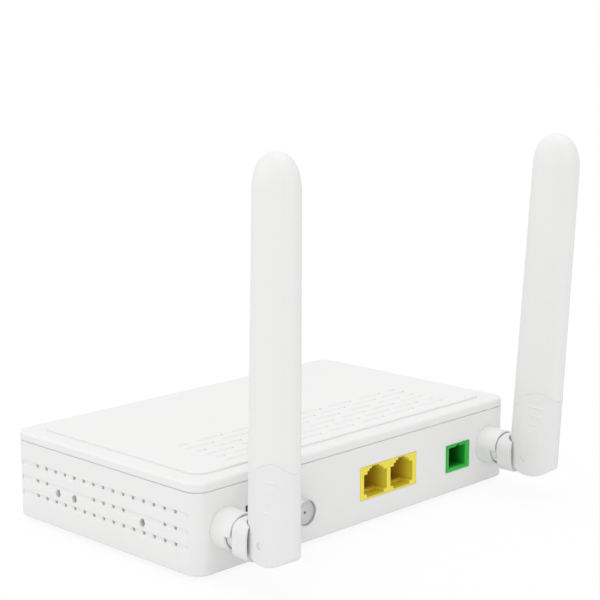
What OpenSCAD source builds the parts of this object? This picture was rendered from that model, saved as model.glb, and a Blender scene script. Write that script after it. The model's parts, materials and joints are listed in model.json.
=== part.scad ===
// Desk or wall optical network terminal with two folding paddle antennas.
// X runs to the right when facing the port panel, the panel faces -Y and +Z is up.
// The origin is the centre of the case footprint on the plane that the feet stand on.
// Port positions are measured from the left side of the case and from its underside.

/* [Case] */
// Width of the case along the port panel
body_w = 159.5; // [158:0.5:164]
// Depth of the case from the port panel to the light side
body_d = 97; // [96:0.5:104]
// Height from the underside to the border of the cover
body_h = 31; // [30:0.5:34]
// Radius of the upright corners
corner_r = 5.5; // [4:0.5:7]
// Rounding along the top edge of the cover
cover_edge_r = 1.2; // [0.6:0.1:1.4]
// Rounding along the bottom edge of the tray
tray_edge_r = 0.8; // [0.4:0.1:1.2]
// Height of the seam between tray and cover above the underside
seam_h = 27.9; // [27:0.1:28.4]
// Depth and height of the shadow line at the seam
seam_line = 0.25; // [0.2:0.05:0.6]
// Thickness of the side walls
wall = 2; // [1.8:0.1:2.4]
// Thickness of the tray floor
floor_t = 2; // [1.6:0.1:2.4]
// Thickness of the cover at its border
cover_t = 1.8; // [1.4:0.1:2]
// Rise of the raised field on the cover
field_rise = 0.7; // [0.3:0.1:1.2]
// Inset of the raised field from the case sides
field_inset = 6.6; // [5:0.2:9]
// Height of the feet below the underside
foot_h = 1.5; // [1:0.1:2]
// Diameter of the feet
foot_d = 10; // [8:0.5:12]

/* [Vents] */
// Number of louvre rows on the cover
louvre_rows = 6; // [2:1:6]
// Distance between louvre rows
louvre_row_pitch = 4.8; // [4:0.1:5.2]
// Distance of the first louvre row from the port panel
louvre_first = 12.3; // [11:0.1:16]
// Length of one louvre
louvre_len = 12; // [9:0.5:13]
// Width of one louvre
louvre_w = 1.5; // [1:0.1:1.8]
// Distance between louvres in a row
louvre_pitch = 16.5; // [15:0.5:17]
// Number of louvres in a full row
louvre_count = 7; // [3:1:7]
// Depth of the hollow round each louvre slit
louvre_scoop = 0.35; // [0.2:0.05:0.5]
// Diameter of a side vent hole
vent_d = 1.4; // [1:0.1:1.8]
// Distance between side vent holes
vent_pitch = 5.24; // [5:0.01:5.3]
// Number of side vent holes in a full row
vent_count = 15; // [8:1:15]
// Distance of the first side vent hole from the port panel
vent_first = 10.6; // [10:0.1:12]
// Height of the lowest row of side vents
vent_low = 9.3; // [9:0.1:10]
// Distance between rows of side vents
vent_row_pitch = 5.4; // [5:0.1:5.6]
// Diameter of the holes over the recessed switches
switch_hole_d = 2.6; // [2:0.1:3]

/* [Ports] */
// Centre of the power inlet
dc_x = 25.7; // [25.5:0.1:27]
// Width of the power inlet body
dc_w = 9; // [8:0.1:9.4]
// Height of the power inlet body
dc_h = 11.2; // [10.4:0.1:12]
// Diameter of the power inlet hole
dc_hole_d = 6.4; // [5.5:0.1:6.6]
// Centre of the coaxial television connector
rf_x = 41.3; // [40.5:0.1:42]
// Height of the coaxial connector axis
rf_z = 14; // [13.5:0.1:14.5]
// Outside diameter of the coaxial connector
rf_d = 9.5; // [9:0.1:9.8]
// Reach of the coaxial connector beyond the panel
rf_out = 8; // [6:0.5:9]
// Centre of the twin network jack
lan_x = 91; // [88:0.5:94]
// Width of the twin network jack
lan_w = 30; // [29.5:0.1:31]
// Height of the twin network jack
lan_h = 11.9; // [11.8:0.1:12.2]
// Distance between the two jack cavities
lan_pitch = 13.97; // [13.8:0.01:14.2]
// Centre of the fibre receptacle
optic_x = 129.7; // [128:0.1:131]
// Width of the fibre receptacle
optic_w = 13.2; // [12.8:0.1:13.6]
// Height of the fibre receptacle
optic_h = 10.1; // [9.8:0.1:10.4]

/* [Antennas] */
// Distance of each antenna axis from its side of the case
ant_inset = 12.2; // [12:0.1:13]
// Height of the antenna axis above the underside
ant_z = 14.5; // [14.3:0.1:15]
// Outside diameter of the antenna collar at the panel
collar_d = 13.7; // [13.4:0.1:14]
// Reach of the collar beyond the panel
collar_out = 8.8; // [8.4:0.1:9]
// Distance of the fold axis from the panel
hinge_out = 20.9; // [20.9:0.1:22]
// Length of a blade above the fold axis
blade_len = 121.2; // [90:0.1:160]
// Thickness of a blade at the fold axis
blade_t = 11; // [10.6:0.1:11.4]
// Width of a blade at the fold axis
blade_w = 19.6; // [19.4:0.1:19.8]
// Share of its section that a blade loses towards the tip
blade_taper = 0.1; // [0:0.01:0.2]
// Height of the domed tip
blade_dome = 12.5; // [9:0.5:16]
// Height of the joint between foot and sleeve at the middle of a blade
blade_split = 25.5; // [22:0.5:30]
// Sideways lean of the left antenna as it stands
left_swivel = 1.1; // [-10:0.1:10]
// Outward lean of the left antenna as it stands
left_fold = 0; // [0:0.1:10]
// Sideways lean of the right antenna as it stands
right_swivel = -4.2; // [-10:0.1:10]
// Outward lean of the right antenna as it stands
right_fold = 6.4; // [0:0.1:10]

/* [Board] */
// Height of the top of the board above the underside
board_top = 8.2; // [8.2:0.1:8.4]
// Thickness of the board
board_t = 1.6; // [1.2:0.1:1.8]
// Number of status lights
light_count = 6; // [3:1:8]
// Distance between status lights
light_pitch = 8; // [6:0.5:8]

/* [Hidden] */
$fn = 64;

white = [0.93, 0.93, 0.92];
ivory = [0.88, 0.87, 0.83];
black = [0.08, 0.08, 0.09];
steel = [0.68, 0.69, 0.7];
gold = [0.85, 0.68, 0.3];
yellow = [0.96, 0.86, 0.18];
green = [0.12, 0.62, 0.2];
board_green = [0.08, 0.3, 0.16];
rubber_grey = [0.25, 0.25, 0.26];
clear = [0.85, 0.9, 0.95, 0.5];

eps = 0.01;
side_x = body_w / 2;
panel_y = -body_d / 2;
front_y = body_d / 2;
base_z = foot_h;
floor_top = base_z + floor_t;
seam_z = base_z + seam_h;
cover_z = base_z + body_h;
roof_under = cover_z - cover_t;
board_z = base_z + board_top;
board_under = board_z - board_t;

// Clearances: fixed pieces in their windows, turning fits, pieces that pass each other
window_gap = 0.1;
turn_gap = 0.05;
pass_gap = 0.35;

// Cover rim that drops inside the tray walls
rim_t = 1.2;
rim_drop = 2.5;
rim_gap = 0.15;
field_edge_r = 0.35;
louvre_slit = 0.5;

// Screws that close the case from below
post_r = 3.3;
post_x = 73.2;
post_rear_y = -33.5;
post_front_y = 42;
post_joint = base_z + 12;
screw_r = 1.4;
screw_hole_r = 1.7;
screw_head_r = 2.6;
screw_head_h = 1.8;
head_recess_r = 2.9;
head_recess = 7;
screw_len = 12;

// Board outline and its own screws
board_rear_y = panel_y + wall + 0.5;
board_front_y = front_y - wall - 3.5;
board_left_x = -side_x + wall + 4.25;
board_notch_r = post_r + 0.8;
board_post_r = 3;
board_screw_r = 1.25;
board_head_r = 2.7;
board_head_h = 1.6;
board_screw_len = 5;
board_screw_at = [[-64, 34], [64, 34], [58, -8], [-20, -36]];

// Underside
foot_x = 60;
foot_y = 38;
foot_seat = 0.6;
keyhole_span = 100;
keyhole_y = 6;
keyhole_head_r = 4;
keyhole_slot_r = 2;
keyhole_run = 9;
floor_slot_w = 2;
floor_slot_len = 24;
floor_slot_pitch = 5;
floor_slot_rows = 7;
floor_slot_x = 26;

// Side vents: the middle row leaves room for the switch holes
groove_up = 0.6;
groove_down = 0.8;
groove_depth = 0.3;
groove_slope = 0.5;
groove_end = 4.5;
left_middle_vents = [0, 1, 5, 6, 7, 8, 13, 14];
switch_y = [26.8, 62.9, 72];
switch_z = 12.6;

// Status lights
light_r = 1.1;
light_z = 9.9;
light_hole_r = 1.25;
light_bar_d = 1.8;
light_bar_h = 3.2;
led_w = 3;
led_d = 1.6;
led_h = 2.2;

// Power inlet
dc_depth = 14;
dc_hole_depth = 9.5;
dc_pin_r = 1.05;
dc_pin_len = 8.5;
dc_hole_z = 6.4;

// Coaxial connector
rf_box_w = 12;
rf_box_h = 11.5;
rf_box_d = 12;
rf_mouth_wall = 0.55;
rf_mouth_depth = 2.6;
rf_stem_r = 2.85;
rf_chamfer = 0.3;
rf_collar = 0.2;
rf_face_recess = 1;
rf_contact_r = 0.9;
rf_contact_hole_r = 0.55;
rf_cup_depth = 16;

// Twin network jack: the mouth is stepped above for the latch and lowered in front
lan_depth = 21;
lan_mouth_w = 12;
lan_mouth_low = 1.8;
lan_mouth_high = 9;
lan_steps = [[8.5, 10.1], [6.4, 10.9], [3.8, 11.6]];
lan_lip_w = 9;
lan_lip_low = 0.6;
lan_lip_depth = 4.9;
lan_comb_w = 0.65;
lan_comb_h = 0.5;
lan_comb_depth = 3.4;
lan_cavity_depth = 15;
lan_contact_count = 8;
lan_contact_pitch = 1.02;
lan_contact_w = 0.45;
lan_contact_t = 0.35;

// Fibre receptacle
optic_depth = 22;
optic_proud = 0.4;
optic_open_w = 9.6;
optic_open_h = 7.5;
optic_key_w = 2;
optic_chamfer = 0.7;
optic_cavity = 14;
optic_sleeve_r = 2.2;
optic_sleeve_bore = 1.26;
optic_sleeve_len = 6;

// Switches behind the left side
switch_w = 6.4;
switch_d = 4.5;
switch_h = 7;
plunger_r = 1.7;
plunger_out = 3.1;
plunger_in = 1.5;
plunger_well = 2;

// Antenna collar and knuckle, measured outward from the panel
collar_rim_r = collar_d / 2 - 0.28;
collar_bore_r = 4.9;
seat_r = 6;
seat_depth = 3;
collar_notch = 2.3;
spigot_r = 4.6;
spigot_hole_r = 4.7;
spigot_lip_r = 5.2;
spigot_lip_t = 1.4;
spigot_len = wall + 0.1 + spigot_lip_t;
spigot_bore_r = 3.5;
stem_r = spigot_bore_r - turn_gap;
stem_lip_r = 3.9;
stem_lip_t = 1.3;
stem_slot_w = 1.2;
lead_bore_r = 1.2;
neck_r = collar_bore_r - turn_gap;
shoulder_r = seat_r - pass_gap;
stop_half_w = 0.9;
ring_r = 5.95;
ring_t = 1.3;
head_half_w = 6.5;
head_top = 6;
head_low = 6.6;
heel_low = 7.1;
head_corner_r = 5;
head_step = 0.9;
heel_end = hinge_out - 4.9;
ear_from = blade_t / 2 + pass_gap;
socket_r = 9.5;
tongue_r = 5.7;
tongue_t = 4.4;
tongue_neck_h = 3.6;
slot_t = tongue_t + 2 * 0.2;
slot_r = tongue_r + pass_gap;
foot_round = 13.1;
foot_low = 6.6;
pin_r = 1.2;
pin_bore_r = pin_r + turn_gap;
pin_recess = 0.5;

// Blade section: a rounded oval that is offset outward from the fold axis
blade_offset = -1.1;
oval_power = 2.4;
dome_power = 2.3;
oval_points = 36;
sleeve_wall = 1.5;
plug_len = 9;
plug_gap = 0.12;
tip_wall = 2.5;

// Joint between foot and sleeve: rise along, across and at the ends of its curve
seam_curve = [-5, -3.45, 3.27];
seam_steps = 24;
seam_drop = 7;

// Antenna leads inside the case
lead_r = 0.65;
lead_sides = 8;
plug_size = [3, 3, 1.9];
lead_z = board_z + 0.95;
ant_x = side_x - ant_inset;
axis_z = base_z + ant_z;
lead_start_y = panel_y - 6;
left_plug_at = [-62.2, -2];
right_plug_at = [-20, 30.5];
left_lead_points = [
  [-ant_x, lead_start_y, axis_z], [-ant_x, panel_y + 6, axis_z], [-ant_x, -37.5, axis_z - 0.6],
  [-66, -29, 12], [-64.6, -22, lead_z], [-63.4, -15, lead_z], [-62.4, -9, lead_z],
  [-62.2, left_plug_at[1] - plug_size[1] / 2 - 2, lead_z], [-62.2, left_plug_at[1] - plug_size[1] / 2, lead_z]
];
right_lead_points = [
  [ant_x, lead_start_y, axis_z], [ant_x, panel_y + 6, axis_z], [ant_x, -37.5, axis_z - 0.6], [67, -29, 12],
  [66.4, -21, lead_z], [66.4, -8, lead_z], [66, 8, lead_z], [63, 20, lead_z], [54, 28, lead_z],
  [40, 30.5, lead_z], [20, 30.5, lead_z], [0, 30.5, lead_z],
  [right_plug_at[0] + plug_size[0] / 2 + 6, right_plug_at[1], lead_z],
  [right_plug_at[0] + plug_size[0] / 2, right_plug_at[1], lead_z]
];
lead_fill = 3;

// Rounded rectangle about the origin
module plan(w, d, r) {
  square([w - 2 * r, d], center = true);
  square([w, d - 2 * r], center = true);
  for (sx = [-1, 1], sy = [-1, 1])
    translate([sx * (w / 2 - r), sy * (d / 2 - r)])
      circle(r);
}

// Half section of a slab edge: flat below, rounded above
module edge_section(r, h, e) {
  square([r, h - e]);
  square([r - e, h]);
  translate([r - e, h - e])
    circle(e);
}

// Slab with upright rounded corners and a rounded top edge
module soft_slab(w, d, h, r, e) {
  translate([0, 0, h / 2]) {
    cube([w - 2 * r, d - 2 * r, h], center = true);
  }
  for (turn = [0, 180]) {
    rotate([0, 0, turn])
      translate([w / 2 - r, d / 2 - r, 0])
        rotate([90, 0, 0])
          linear_extrude(d - 2 * r)
            edge_section(r, h, e);
    rotate([0, 0, turn + 90])
      translate([d / 2 - r, w / 2 - r, 0])
        rotate([90, 0, 0])
          linear_extrude(w - 2 * r)
            edge_section(r, h, e);
  }
  for (k = [0:3]) {
    sx = k == 0 || k == 3 ? 1 : -1;
    sy = k < 2 ? 1 : -1;
    translate([sx * (w / 2 - r), sy * (d / 2 - r), 0])
      rotate([0, 0, 90 * k])
        rotate_extrude(angle = 90)
          edge_section(r, h, e);
  }
}

// Frame on the port panel: x along the panel, y up, z outward
module on_panel(x, z) {
  translate([-side_x + x, panel_y, base_z + z])
    rotate([90, 0, 0])
      children();
}

// Frame on the left side: z points into the case
module on_left(y, z) {
  translate([-side_x, panel_y + y, base_z + z])
    rotate([0, 90, 0])
      children();
}

// Slot with round ends along X, cut downward from z = 0
module slot_x(len, w, depth) {
  translate([0, 0, -depth]) {
    linear_extrude(depth + eps) {
      square([len - w, w], center = true);
      translate([(len - w) / 2, 0])
        circle(w / 2, $fn = 24);
      translate([-(len - w) / 2, 0])
        circle(w / 2, $fn = 24);
    }
  }
}

// Places of the four closing posts
module at_posts() {
  for (sx = [-1, 1], y = [post_rear_y, post_front_y])
    translate([sx * post_x, y, 0])
      children();
}

// Rows of small holes in a side wall, each row in a shallow groove with a sloping lower edge
module side_vents(middle) {
  for (row = [0:2]) {
    z = vent_low + row * vent_row_pitch;
    on_left(body_d / 2, z)
      rotate([90, 0, 0])
        linear_extrude(body_d - 2 * groove_end, center = true)
          polygon([
            [-groove_up, -1], [-groove_up, groove_depth], [groove_down, groove_depth],
            [groove_down + groove_slope, 0], [groove_down + groove_slope, -1]
          ]);
    for (k = row == 1 ? middle : [0:vent_count - 1])
      on_left(vent_first + k * vent_pitch, z)
        translate([0, 0, -1])
          cylinder(h = wall + 2, d = vent_d, $fn = 16);
  }
}

module panel_windows() {
  on_panel(dc_x, board_top + dc_h / 2)
    cube([dc_w + 2 * window_gap, dc_h + 2 * window_gap, 3 * wall], center = true);
  on_panel(rf_x, rf_z)
    cylinder(h = 3 * wall, d = rf_d + 2 * (rf_collar + window_gap), center = true);
  on_panel(lan_x, board_top + lan_h / 2)
    cube([lan_w + 2 * window_gap, lan_h + 2 * window_gap, 3 * wall], center = true);
  on_panel(optic_x, board_top + optic_h / 2)
    cube([optic_w + 2 * window_gap, optic_h + 2 * window_gap, 3 * wall], center = true);
  for (x = [ant_inset, body_w - ant_inset])
    on_panel(x, ant_z)
      cylinder(h = 3 * wall, r = spigot_hole_r, center = true);
}

module underside_cuts() {
  for (sx = [-1, 1]) {
    translate([sx * keyhole_span / 2, keyhole_y, base_z - 1]) {
      cylinder(h = floor_t + 2, r = keyhole_head_r);
      translate([-keyhole_slot_r, 0, 0])
        cube([2 * keyhole_slot_r, keyhole_run, floor_t + 2]);
      translate([0, keyhole_run, 0])
        cylinder(h = floor_t + 2, r = keyhole_slot_r);
    }
    for (row = [0:floor_slot_rows - 1])
      translate([sx * floor_slot_x, (row - (floor_slot_rows - 1) / 2) * floor_slot_pitch, floor_top + 1])
        slot_x(floor_slot_len, floor_slot_w, floor_t + 2);
    for (sy = [-1, 1])
      translate([sx * foot_x, sy * foot_y, base_z - 1])
        cylinder(h = 1 + foot_seat, d = foot_d);
  }
  at_posts() {
    translate([0, 0, base_z - 1])
      cylinder(h = 1 + head_recess, r = head_recess_r);
    translate([0, 0, base_z])
      cylinder(h = post_joint, r = screw_hole_r);
  }
}

module base_tray() {
  color(white)
    difference() {
      union() {
        difference() {
          translate([0, 0, seam_z])
            mirror([0, 0, 1])
              soft_slab(body_w, body_d, seam_h, corner_r, tray_edge_r);
          translate([0, 0, floor_top])
            linear_extrude(seam_h)
              plan(body_w - 2 * wall, body_d - 2 * wall, corner_r - wall);
        }
        at_posts()
          translate([0, 0, floor_top - eps])
            cylinder(h = post_joint - floor_top + eps, r = post_r);
        for (p = board_screw_at)
          translate([p[0], p[1], floor_top - eps])
            cylinder(h = board_under - floor_top + eps, r = board_post_r);
      }
      panel_windows();
      underside_cuts();
      side_vents(left_middle_vents);
      mirror([1, 0, 0])
        side_vents([0:vent_count - 1]);
      for (y = switch_y)
        on_left(y, switch_z)
          translate([0, 0, -1])
            cylinder(h = wall + 2, d = switch_hole_d, $fn = 24);
      for (k = [0:light_count - 1])
        translate([(k - (light_count - 1) / 2) * light_pitch, front_y, base_z + light_z])
          rotate([90, 0, 0])
            cylinder(h = 3 * wall, r = light_hole_r, center = true, $fn = 32);
      for (p = board_screw_at)
        translate([p[0], p[1], floor_top])
          cylinder(h = board_under, r = board_screw_r, $fn = 32);
      // Shadow line along the seam
      translate([0, 0, seam_z - seam_line])
        difference() {
          linear_extrude(seam_line + eps)
            plan(body_w + 2, body_d + 2, corner_r + 1);
          translate([0, 0, -1])
            linear_extrude(seam_line + 2)
              plan(body_w - 2 * seam_line, body_d - 2 * seam_line, corner_r - seam_line);
        }
    }
}

// Louvre rows: every second row is shifted by half a pitch and trimmed to the field
module louvres() {
  span = (louvre_count - 1) * louvre_pitch + louvre_len;
  for (row = [0:louvre_rows - 1]) {
    shift = row % 2 == 0 ? 0 : louvre_pitch / 2;
    for (k = [0:louvre_count - (row % 2 == 0 ? 1 : 0)]) {
      from = max(-span / 2, -span / 2 + k * louvre_pitch - shift);
      to = min(span / 2, -span / 2 + k * louvre_pitch - shift + louvre_len);
      translate([(from + to) / 2, panel_y + louvre_first + row * louvre_row_pitch, cover_z + field_rise])
        louvre(to - from);
    }
  }
}

// One louvre: a shallow scoop with a narrow slit through its near half
module louvre(len) {
  scoop_r = (louvre_w * louvre_w / 4 + louvre_scoop * louvre_scoop) / (2 * louvre_scoop);
  translate([0, 0, scoop_r - louvre_scoop])
    rotate([0, 90, 0])
      cylinder(h = len, r = scoop_r, center = true);
  translate([0, -louvre_slit / 2, 0])
    slot_x(len - louvre_w, louvre_slit, cover_t + field_rise + 1);
}

module top_cover() {
  rim_w = body_w - 2 * wall - 2 * rim_gap;
  rim_d = body_d - 2 * wall - 2 * rim_gap;
  rim_r = corner_r - wall - rim_gap;
  color(white)
    difference() {
      union() {
        translate([0, 0, seam_z])
          soft_slab(body_w, body_d, body_h - seam_h, corner_r, cover_edge_r);
        translate([0, 0, roof_under + 0.5])
          soft_slab(body_w - 2 * field_inset, body_d - 2 * field_inset,
            cover_z + field_rise - roof_under - 0.5, corner_r, field_edge_r);
        difference() {
          translate([0, 0, seam_z - rim_drop])
            linear_extrude(rim_drop + eps)
              plan(rim_w, rim_d, rim_r);
          translate([0, 0, seam_z - rim_drop - 1])
            linear_extrude(rim_drop + 2)
              plan(rim_w - 2 * rim_t, rim_d - 2 * rim_t, rim_r - rim_t);
        }
        at_posts()
          translate([0, 0, post_joint])
            cylinder(h = roof_under - post_joint + 0.5, r = post_r);
      }
      difference() {
        translate([0, 0, seam_z - eps])
          linear_extrude(roof_under - seam_z + eps)
            plan(rim_w - 2 * rim_t, rim_d - 2 * rim_t, rim_r - rim_t);
        at_posts()
          translate([0, 0, post_joint])
            cylinder(h = roof_under, r = post_r);
      }
      louvres();
      at_posts()
        translate([0, 0, post_joint - 1])
          cylinder(h = screw_len, r = screw_r);
    }
}

module rubber_feet() {
  color(rubber_grey)
    for (sx = [-1, 1], sy = [-1, 1])
      translate([sx * foot_x, sy * foot_y, 0])
        rotate_extrude()
          polygon([
            [0, 0], [foot_d / 2 - 0.8, 0], [foot_d / 2 - 0.1, 0.6],
            [foot_d / 2 - 0.1, foot_h + foot_seat], [0, foot_h + foot_seat]
          ]);
}

// Pan-head screw, head down, cross recess in the head
module head_down_screw(head_r, head_h, shank_r, len) {
  difference() {
    union() {
      translate([0, 0, -head_h])
        cylinder(h = head_h, r1 = head_r * 0.82, r2 = head_r);
      cylinder(h = len, r = shank_r);
    }
    for (turn = [0, 90])
      rotate([0, 0, turn])
        translate([0, 0, -head_h])
          cube([head_r * 1.1, head_r * 0.26, head_h], center = true);
  }
}

module case_screws() {
  color(steel)
    at_posts()
      translate([0, 0, base_z + head_recess])
        head_down_screw(screw_head_r, screw_head_h, screw_r, screw_len);
}

module main_board() {
  color(board_green)
    difference() {
      translate([board_left_x, board_rear_y, board_under])
        cube([-2 * board_left_x, board_front_y - board_rear_y, board_t]);
      at_posts()
        translate([0, 0, board_under - 1])
          cylinder(h = board_t + 2, r = board_notch_r);
      for (p = board_screw_at)
        translate([p[0], p[1], board_under - 1])
          cylinder(h = board_t + 2, r = board_screw_r + 0.25, $fn = 32);
    }
}

module board_screws() {
  color(steel)
    for (p = board_screw_at)
      translate([p[0], p[1], board_z])
        mirror([0, 0, 1])
          head_down_screw(board_head_r, board_head_h, board_screw_r, board_screw_len);
}

// Clear moulding that carries the light to the case front
module light_pipe() {
  bar_len = (light_count - 1) * light_pitch + 4;
  color(clear) {
    translate([-bar_len / 2, board_front_y - light_bar_d, board_z])
      cube([bar_len, light_bar_d, light_bar_h]);
    for (k = [0:light_count - 1])
      translate([(k - (light_count - 1) / 2) * light_pitch, board_front_y - eps, base_z + light_z])
        rotate([-90, 0, 0])
          cylinder(h = front_y - board_front_y + eps, r = light_r, $fn = 32);
  }
}

module status_leds() {
  color(ivory)
    for (k = [0:light_count - 1])
      translate([(k - (light_count - 1) / 2) * light_pitch, board_front_y - light_bar_d - 0.2, board_z]) {
        translate([-led_w / 2, -led_d, 0])
          cube([led_w, led_d - 0.3, led_h]);
        translate([-led_w * 0.3, -0.3 - eps, 0.4])
          cube([led_w * 0.6, 0.3 + eps, led_h - 0.8]);
      }
}

module dc_inlet_body() {
  color(black)
    on_panel(dc_x, board_top)
      difference() {
        translate([-dc_w / 2, 0, -dc_depth])
          cube([dc_w, dc_h, dc_depth]);
        translate([0, dc_hole_z, -dc_hole_depth])
          cylinder(h = dc_hole_depth + 1, d = dc_hole_d);
        translate([0, dc_hole_z, -0.6])
          cylinder(h = 0.6 + eps, d1 = dc_hole_d, d2 = dc_hole_d + 1.2);
        // Channel for the spring contact below the hole
        translate([-1.2, dc_hole_z - dc_hole_d / 2 - 1, -dc_hole_depth])
          cube([2.4, 2, dc_hole_depth - 2]);
      }
}

module dc_inlet_pin() {
  color(steel)
    on_panel(dc_x, board_top + dc_hole_z)
      translate([0, 0, -dc_hole_depth])
        rotate_extrude()
          polygon([
            [0, 0], [dc_pin_r, 0], [dc_pin_r, dc_pin_len - dc_pin_r * 0.6],
            [dc_pin_r * 0.5, dc_pin_len], [0, dc_pin_len]
          ]);
}

module dc_inlet_spring() {
  leaf_t = 0.3;
  color(gold)
    on_panel(dc_x, board_top + dc_hole_z - dc_hole_d / 2 - 1)
      translate([1, 0, -dc_hole_depth])
        rotate([0, -90, 0])
          linear_extrude(2)
            polygon([
              [0, 0], [dc_hole_depth - 2.2, 0], [dc_hole_depth - 2.2, leaf_t],
              [dc_hole_depth * 0.6, leaf_t], [dc_hole_depth * 0.45, 1.1 + leaf_t],
              [dc_hole_depth * 0.3, leaf_t], [0, leaf_t]
            ]);
}

// Turned shell with a root collar, on a square foot that stands on the board
module rf_connector_shell() {
  r = rf_d / 2;
  root = wall + 0.2;
  color(steel)
    difference() {
      union() {
        on_panel(rf_x, rf_z)
          rotate_extrude()
            polygon([
              [0, -root], [r + rf_collar, -root], [r + rf_collar, 0], [r, 0],
              [r, rf_out - rf_chamfer], [r - rf_chamfer, rf_out], [0, rf_out]
            ]);
        on_panel(rf_x, board_top)
          translate([-rf_box_w / 2, 0, -root - rf_box_d])
            cube([rf_box_w, rf_box_h, rf_box_d + eps]);
      }
      on_panel(rf_x, rf_z) {
        translate([0, 0, rf_out - rf_cup_depth])
          cylinder(h = rf_cup_depth, r = rf_stem_r);
        translate([0, 0, rf_out - rf_mouth_depth])
          cylinder(h = rf_mouth_depth + 1, r = r - rf_mouth_wall);
      }
    }
}

// Stem in the shell with a wide front face that lies back from the rim
module rf_connector_insulator() {
  face_r = rf_d / 2 - rf_mouth_wall - 0.05;
  stem_r = rf_stem_r - 0.05;
  seat = rf_cup_depth - rf_mouth_depth;
  front = rf_cup_depth - rf_face_recess;
  color(ivory)
    on_panel(rf_x, rf_z)
      translate([0, 0, rf_out - rf_cup_depth])
        difference() {
          rotate_extrude()
            polygon([
              [0, 0], [stem_r, 0], [stem_r, seat], [face_r, seat], [face_r, front], [0, front]
            ]);
          translate([0, 0, 2])
            cylinder(h = front - 3, r = rf_contact_r + 0.05, $fn = 32);
          translate([0, 0, 3])
            cylinder(h = front, r = rf_contact_hole_r, $fn = 32);
        }
}

module rf_connector_contact() {
  color(gold)
    on_panel(rf_x, rf_z)
      translate([0, 0, rf_out - rf_cup_depth + 2])
        difference() {
          cylinder(h = rf_cup_depth - rf_face_recess - 3.1, r = rf_contact_r, $fn = 32);
          translate([0, 0, 4])
            cylinder(h = rf_cup_depth, r = rf_contact_hole_r, $fn = 32);
        }
}

// Mouth of one network jack, looking at the panel from outside
module lan_mouth() {
  translate([-lan_mouth_w / 2, lan_mouth_low])
    square([lan_mouth_w, lan_mouth_high - lan_mouth_low]);
  for (s = lan_steps)
    translate([-s[0] / 2, lan_mouth_high - eps])
      square([s[0], s[1] - lan_mouth_high + eps]);
}

module network_jack_housing() {
  color(yellow)
    on_panel(lan_x, board_top)
      difference() {
        translate([-lan_w / 2, 0, -lan_depth])
          cube([lan_w, lan_h, lan_depth]);
        for (s = [-1, 1])
          translate([s * lan_pitch / 2, 0, 0]) {
            translate([0, 0, -lan_cavity_depth])
              linear_extrude(lan_cavity_depth + 1)
                lan_mouth();
            translate([-lan_lip_w / 2, lan_lip_low, -lan_lip_depth])
              cube([lan_lip_w, lan_mouth_low - lan_lip_low + eps, lan_lip_depth + 1]);
            for (k = [0:lan_contact_count - 1])
              translate([lan_contact_x(k), lan_mouth_low, -lan_lip_depth - lan_comb_depth / 2])
                cube([lan_comb_w, 2 * lan_comb_h, lan_comb_depth + eps], center = true);
          }
      }
}

// Place of one spring wire across its jack
function lan_contact_x(k) = (k - (lan_contact_count - 1) / 2) * lan_contact_pitch;

// Spring wires that lie in the comb behind the lip and rise towards the back of the cavity
module network_jack_contacts() {
  front = -lan_lip_depth - 0.3;
  bend = front - 1.2;
  back = -lan_cavity_depth + 0.9;
  color(gold)
    on_panel(lan_x, board_top + lan_mouth_low - lan_comb_h)
      for (s = [-1, 1], k = [0:lan_contact_count - 1])
        translate([s * lan_pitch / 2 + lan_contact_x(k) + lan_contact_w / 2, 0, 0])
          rotate([0, -90, 0])
            linear_extrude(lan_contact_w)
              polygon([
                [front, 0], [front, lan_contact_t], [bend, lan_contact_t],
                [back + 0.3, 3.9], [back, 3.7], [bend - 0.3, 0]
              ]);
}

module network_transformer() {
  color(black)
    translate([-side_x + lan_x - 8.5, panel_y + lan_depth + 2.5, board_z]) {
      translate([0, 1.5, 0.3])
        cube([17, 8, 5.7]);
      for (k = [0:7], e = [0, 1])
        translate([1.5 + k * 1.9, e * 9.4, 0])
          cube([0.6, 1.6, 0.3 + eps]);
    }
}

// Square adapter: key slot in the top rim, chamfered mouth, round seat for the sleeve
module fibre_receptacle() {
  mid = optic_h / 2;
  color(green)
    on_panel(optic_x, board_top)
      difference() {
        translate([-optic_w / 2, 0, -optic_depth])
          cube([optic_w, optic_h, optic_depth + optic_proud]);
        translate([-optic_open_w / 2, mid - optic_open_h / 2, -optic_cavity])
          cube([optic_open_w, optic_open_h, optic_cavity + 1]);
        translate([0, mid, optic_proud])
          mouth_flare();
        translate([-optic_key_w / 2, mid, -5])
          cube([optic_key_w, optic_open_h / 2 + 1, 6]);
        translate([0, mid, -optic_depth - 1])
          cylinder(h = optic_depth, r = optic_sleeve_r);
      }
}

// Lead-in of the receptacle: four bevels that meet in mitres
module mouth_flare() {
  w = optic_open_w / 2;
  h = optic_open_h / 2;
  c = optic_chamfer;
  intersection() {
    rotate([90, 0, 0])
      linear_extrude(2 * optic_h, center = true)
        polygon([[-w, -c], [w, -c], [w + 2 * c, c], [-w - 2 * c, c]]);
    rotate([0, -90, 0])
      linear_extrude(2 * optic_w, center = true)
        polygon([[-c, -h], [-c, h], [c, h + 2 * c], [c, -h - 2 * c]]);
  }
}

module fibre_sleeve() {
  color([0.95, 0.95, 0.93])
    on_panel(optic_x, board_top + optic_h / 2)
      translate([0, 0, -optic_depth])
        difference() {
          cylinder(h = optic_depth - optic_cavity + optic_sleeve_len, r = optic_sleeve_r - 0.05, $fn = 48);
          translate([0, 0, 3])
            cylinder(h = optic_depth, r = optic_sleeve_bore, $fn = 48);
        }
}

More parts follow.
